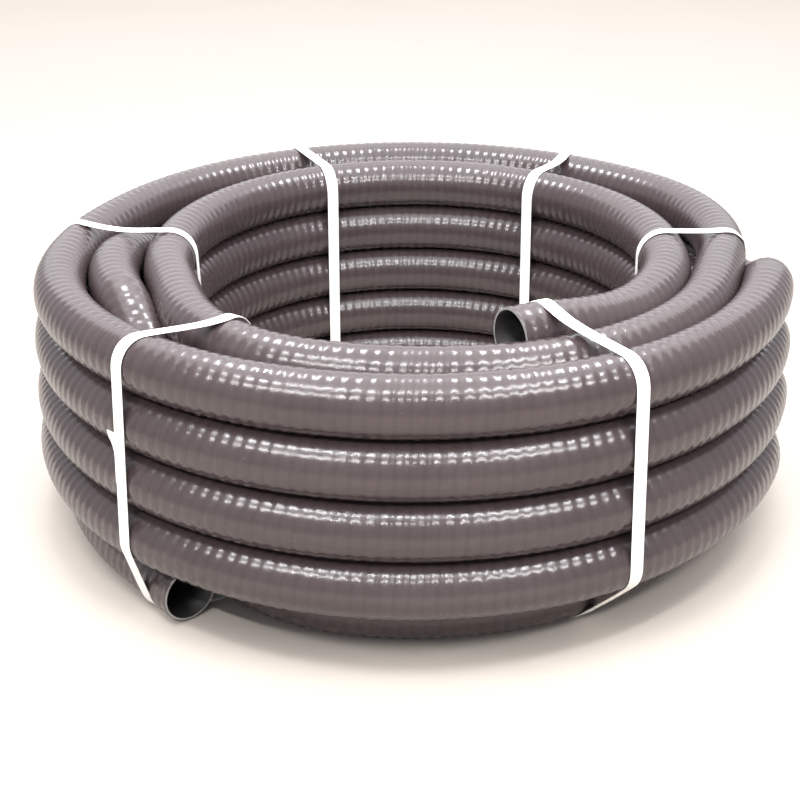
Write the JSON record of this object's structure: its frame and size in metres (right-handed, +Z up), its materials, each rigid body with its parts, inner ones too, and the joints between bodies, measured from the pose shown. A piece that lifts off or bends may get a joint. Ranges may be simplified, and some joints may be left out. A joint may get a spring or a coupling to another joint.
{
  "type": "coil of flexible ribbed waste hose",
  "caption": "Flexible ribbed grey PVC waste hose wound in a ring-shaped coil, both plain cut ends open, held by flat white straps around the bundle.",
  "frame": {"origin": "centre of the coil on the surface it lies on: the middle of the bounding box in X and Y, at the straps' undersides", "axes": "+Z up along the coil's axis; -Y the front, where the upper end opens inside the coil; +X to the right"},
  "size_m": [0.7339, 0.7294, 0.2713],
  "materials": {
    "hose_pvc": "semi-gloss grey flexible PVC, ribbed by its rigid spiral",
    "strap_pp": "satin white polypropylene strap"
  },
  "bodies": {
    "root": {"hose_coil": "hose_pvc", "hose_end_upper": "hose_pvc", "hose_end_lower": "hose_pvc", "strap_front_right": "strap_pp", "strap_right": "strap_pp", "strap_back_right": "strap_pp", "strap_back_left": "strap_pp", "strap_left": "strap_pp", "strap_front_left": "strap_pp"}
  },
  "joints": []
}
